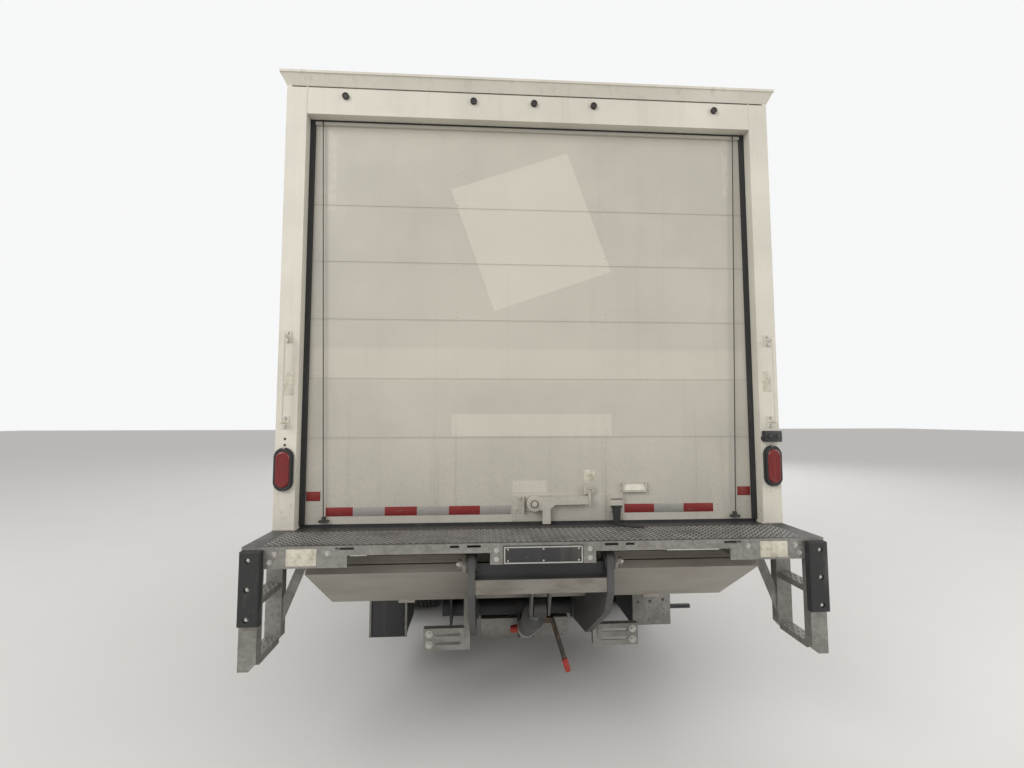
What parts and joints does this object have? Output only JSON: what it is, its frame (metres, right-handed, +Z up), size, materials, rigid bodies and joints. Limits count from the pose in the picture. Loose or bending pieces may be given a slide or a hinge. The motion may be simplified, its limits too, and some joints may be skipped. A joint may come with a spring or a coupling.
{
  "type": "box truck with tail lift",
  "caption": "Cab-over box truck with a dry van body, roll-up rear door, side step ladders and a folded tuck-under tail lift; the wheels, doors, cab and lift move.",
  "frame": {"origin": "on the ground, under the middle of the whole length and width", "axes": "+X to the truck's right, +Y forward, +Z up"},
  "size_m": [2.54, 7.1378, 3.275],
  "materials": {
    "van_skin": "satin",
    "frame_paint": "satin, chalky",
    "door_paint": "satin, chalky",
    "cab_paint": "gloss",
    "chassis_black": "satin",
    "lift_black": "satin, chipped",
    "galvanised": "galvanised, dull",
    "platform_steel": "worn",
    "cast_iron": "rough",
    "rod_chrome": "polished",
    "exhaust_steel": "heat-stained",
    "tank_aluminium": "brushed",
    "wheel_paint": "satin",
    "cable_steel": "dull, oiled",
    "floor_wood": "worn",
    "rubber": "matt",
    "tyre": "matt",
    "lens_red": "glossy lens",
    "lens_clear": "glossy lens",
    "black_plastic": "grained",
    "dash_plastic": "grained",
    "seat_cloth": "woven",
    "glass": "clear, lightly tinted"
  },
  "bodies": {
    "truck": {"ladder_frame": "chassis_black", "cab_mounts": "chassis_black", "front_axle": "cast_iron", "leaf_springs": "chassis_black", "rear_axle": "cast_iron", "drive_shaft": "chassis_black", "engine_block": "cast_iron", "fuel_tank": "tank_aluminium", "battery_box": "black_plastic", "exhaust": "exhaust_steel", "mudflaps": "rubber", "front_bumper": "cab_paint", "van_floor": "floor_wood", "floor_sills": "chassis_black", "van_walls": "van_skin", "van_front_wall": "van_skin", "van_roof": "van_skin", "rear_frame": "frame_paint", "roll_up_door": "door_paint", "door_seals": "rubber", "door_cables": "cable_steel", "door_fittings": "door_paint", "tail_lamps": "lens_red", "lamp_bezels": "black_plastic", "grab_handles": "frame_paint", "rear_deck": "galvanised", "side_steps": "galvanised", "rubber_bumpers": "rubber", "lift_mount": "lift_black", "lift_boxes": "black_plastic"},
    "lift_arms": {"lift_arms": "lift_black", "lift_cradles": "galvanised", "platform_pack": "platform_steel"},
    "lift_barrel": {"lift_barrel": "lift_black"},
    "lift_rod": {"lift_rod": "rod_chrome"},
    "cab": {"cab_shell": "cab_paint", "cab_floor": "chassis_black", "cab_glass": "glass", "grille": "black_plastic", "headlamps": "lens_clear", "dashboard": "dash_plastic", "seats": "seat_cloth", "steering_wheel": "black_plastic", "mirrors": "black_plastic"},
    "cab_door_left": {"cab_door_left": "cab_paint", "door_glass_left": "glass"},
    "knuckle_left": {"knuckle_left": "cast_iron"},
    "wheel_front_left": {"wheel_front_left": "wheel_paint", "tyre_front_left": "tyre"},
    "wheels_rear_left": {"wheels_rear_left": "wheel_paint", "tyres_rear_left": "tyre"},
    "cab_door_right": {"cab_door_right": "cab_paint", "door_glass_right": "glass"},
    "knuckle_right": {"knuckle_right": "cast_iron"},
    "wheel_front_right": {"wheel_front_right": "wheel_paint", "tyre_front_right": "tyre"},
    "wheels_rear_right": {"wheels_rear_right": "wheel_paint", "tyres_rear_right": "tyre"}
  },
  "joints": [
    {"name": "steer_left", "type": "hinge", "parent": "truck", "child": "knuckle_left", "pos_m": [-0.76, 2.464, 0.405], "axis": [0, 0, 1], "range_deg": [-35, 35]},
    {"name": "front_wheel_spin_left", "type": "hinge", "parent": "knuckle_left", "child": "wheel_front_left", "pos_m": [-0.85, 2.464, 0.405], "axis": [1, 0, 0], "continuous": true},
    {"name": "rear_wheels_spin_left", "type": "hinge", "parent": "truck", "child": "wheels_rear_left", "pos_m": [-0.825, -1.346, 0.405], "axis": [1, 0, 0], "continuous": true},
    {"name": "cab_door_hinge_left", "type": "hinge", "parent": "cab", "child": "cab_door_left", "pos_m": [-1.011, 3.182, 1.5], "axis": [0, 0, -1], "range_deg": [0, 70]},
    {"name": "steer_right", "type": "hinge", "parent": "truck", "child": "knuckle_right", "pos_m": [0.76, 2.464, 0.405], "axis": [0, 0, 1], "range_deg": [-35, 35]},
    {"name": "front_wheel_spin_right", "type": "hinge", "parent": "knuckle_right", "child": "wheel_front_right", "pos_m": [0.85, 2.464, 0.405], "axis": [1, 0, 0], "continuous": true},
    {"name": "rear_wheels_spin_right", "type": "hinge", "parent": "truck", "child": "wheels_rear_right", "pos_m": [0.825, -1.346, 0.405], "axis": [1, 0, 0], "continuous": true},
    {"name": "cab_door_hinge_right", "type": "hinge", "parent": "cab", "child": "cab_door_right", "pos_m": [1.011, 3.182, 1.5], "axis": [0, 0, 1], "range_deg": [0, 70]},
    {"name": "cab_tilt", "type": "hinge", "parent": "truck", "child": "cab", "pos_m": [0, 3.329, 0.665], "axis": [-1, 0, 0], "range_deg": [0, 45]},
    {"name": "lift_swing", "type": "hinge", "parent": "truck", "child": "lift_arms", "pos_m": [0, -2.641, 0.46], "axis": [1, 0, 0], "range_deg": [0, 48]},
    {"name": "lift_barrel_swing", "type": "hinge", "parent": "truck", "child": "lift_barrel", "pos_m": [0, -2.671, 0.34], "axis": [1, 0, 0], "range_deg": [0, 49.8]},
    {"name": "lift_rod_slide", "type": "slide", "parent": "lift_barrel", "child": "lift_rod", "axis": [0, -0.8765, 0.4814], "range_m": [-0.1049, 0.002]}
  ],
  "couplings": [
    {"joint": "steer_right", "follows": "steer_left", "ratio": 1},
    {"joint": "lift_barrel_swing", "follows": "lift_swing", "ratio": 1.016},
    {"joint": "lift_rod_slide", "follows": "lift_swing", "m_per_rad": -0.1228}
  ]
}
